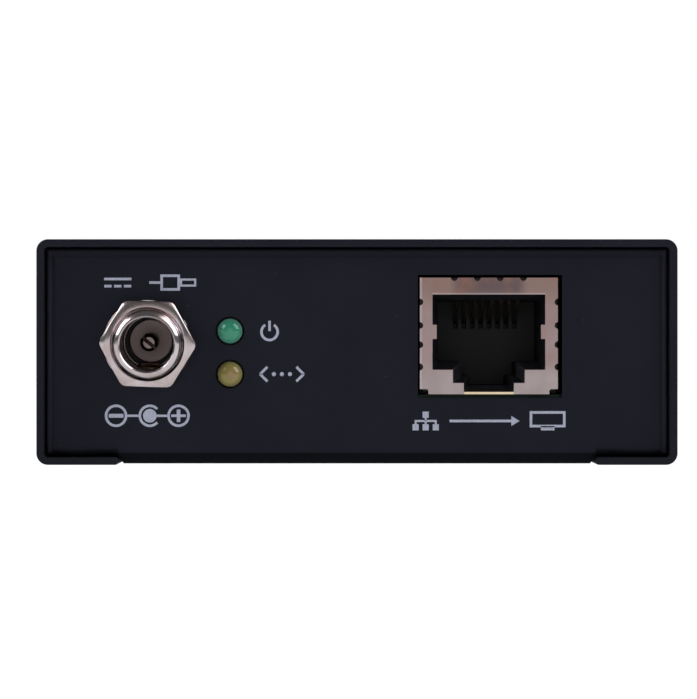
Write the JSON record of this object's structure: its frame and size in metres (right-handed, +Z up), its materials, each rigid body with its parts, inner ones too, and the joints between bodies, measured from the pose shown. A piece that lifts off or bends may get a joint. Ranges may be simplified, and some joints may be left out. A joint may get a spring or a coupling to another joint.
{
  "type": "hdmi extender",
  "caption": "Small black sheet-metal signal extender box with a round power jack, lamps and a shielded modular socket at one end and video and infrared sockets at the other.",
  "frame": {"origin": "middle of the footprint, on the surface that the box stands on", "axes": "+X to the right seen from the cable end, +Y from the cable end to the video end, +Z up"},
  "size_m": [0.075, 0.1064, 0.0264],
  "materials": {
    "black_coat": "fine-textured satin black coat",
    "chassis_coat": "smooth satin black coat",
    "black_screw": "black oxide",
    "zinc": "bright zinc",
    "nickel": "nickel plate",
    "pin_nickel": "nickel plate",
    "spring_bronze": "tinned bronze",
    "gold": "gold flash",
    "tin": "tinned",
    "socket_nickel": "nickel-plated sheet",
    "black_plastic": "moulded, fine matt",
    "insulator_plastic": "moulded, matt",
    "green_lens": "diffused epoxy",
    "yellow_lens": "diffused epoxy",
    "board_green": "solder mask",
    "chip_black": "moulded epoxy",
    "thermal_rubber": "soft pad",
    "anodised_black": "black anodised",
    "ferrite": "sintered",
    "can_aluminium": "drawn can",
    "ceramic": "fired ceramic"
  },
  "bodies": {
    "case": {"top_cover": "black_coat", "chassis": "chassis_coat", "cover_screws": "black_screw", "clinch_nuts": "zinc", "circuit_board": "board_green", "board_standoffs": "zinc", "board_screws": "zinc", "dc_jack_barrel": "nickel", "dc_jack_nut": "nickel", "dc_jack_washer": "nickel", "dc_jack_body": "black_plastic", "dc_jack_sleeve": "pin_nickel", "dc_jack_insulator": "insulator_plastic", "dc_jack_pin": "pin_nickel", "dc_jack_terminals": "tin", "led_holder": "black_plastic", "power_led": "green_lens", "link_led": "yellow_lens", "led_leads": "tin", "rj45_shield": "socket_nickel", "rj45_insert": "black_plastic", "rj45_tails": "gold", "hdmi_shell": "socket_nickel", "hdmi_tongue": "black_plastic", "hdmi_contacts": "gold", "ir_in_jack_body": "black_plastic", "ir_out_jack_body": "black_plastic", "ir_in_collar": "nickel", "ir_out_collar": "nickel", "ir_jack_terminals": "tin", "receiver_chip": "chip_black", "thermal_pad": "thermal_rubber", "heat_sink": "anodised_black", "output_chip": "chip_black", "line_transformer": "chip_black", "power_inductors": "ferrite", "capacitors": "can_aluminium", "crystal": "zinc", "small_chips": "chip_black", "small_passives": "ceramic"},
    "jack_side_spring": {"dc_jack_spring": "spring_bronze"},
    "socket_contacts": {"rj45_contacts": "gold"},
    "ir_in_tip_spring": {"ir_in_spring": "spring_bronze"},
    "ir_out_tip_spring": {"ir_out_spring": "spring_bronze"}
  },
  "joints": [
    {"name": "jack_spring_bend", "type": "hinge", "parent": "case", "child": "jack_side_spring", "pos_m": [-0.02445, -0.03728, 0.01123], "axis": [1, 0, 0], "range_deg": [0, 3], "stiffness_Nm_per_rad": 0.002},
    {"name": "socket_contacts_bend", "type": "hinge", "parent": "case", "child": "socket_contacts", "pos_m": [0.01546, -0.04741, 0.01954], "axis": [1, 0, 0], "range_deg": [0, 10], "stiffness_Nm_per_rad": 0.002},
    {"name": "ir_in_spring_bend", "type": "hinge", "parent": "case", "child": "ir_in_tip_spring", "pos_m": [-0.011, 0.03993, 0.01419], "axis": [1, 0, 0], "range_deg": [0, 4], "stiffness_Nm_per_rad": 0.002},
    {"name": "ir_out_spring_bend", "type": "hinge", "parent": "case", "child": "ir_out_tip_spring", "pos_m": [-0.024, 0.03993, 0.01419], "axis": [1, 0, 0], "range_deg": [0, 4], "stiffness_Nm_per_rad": 0.002}
  ]
}
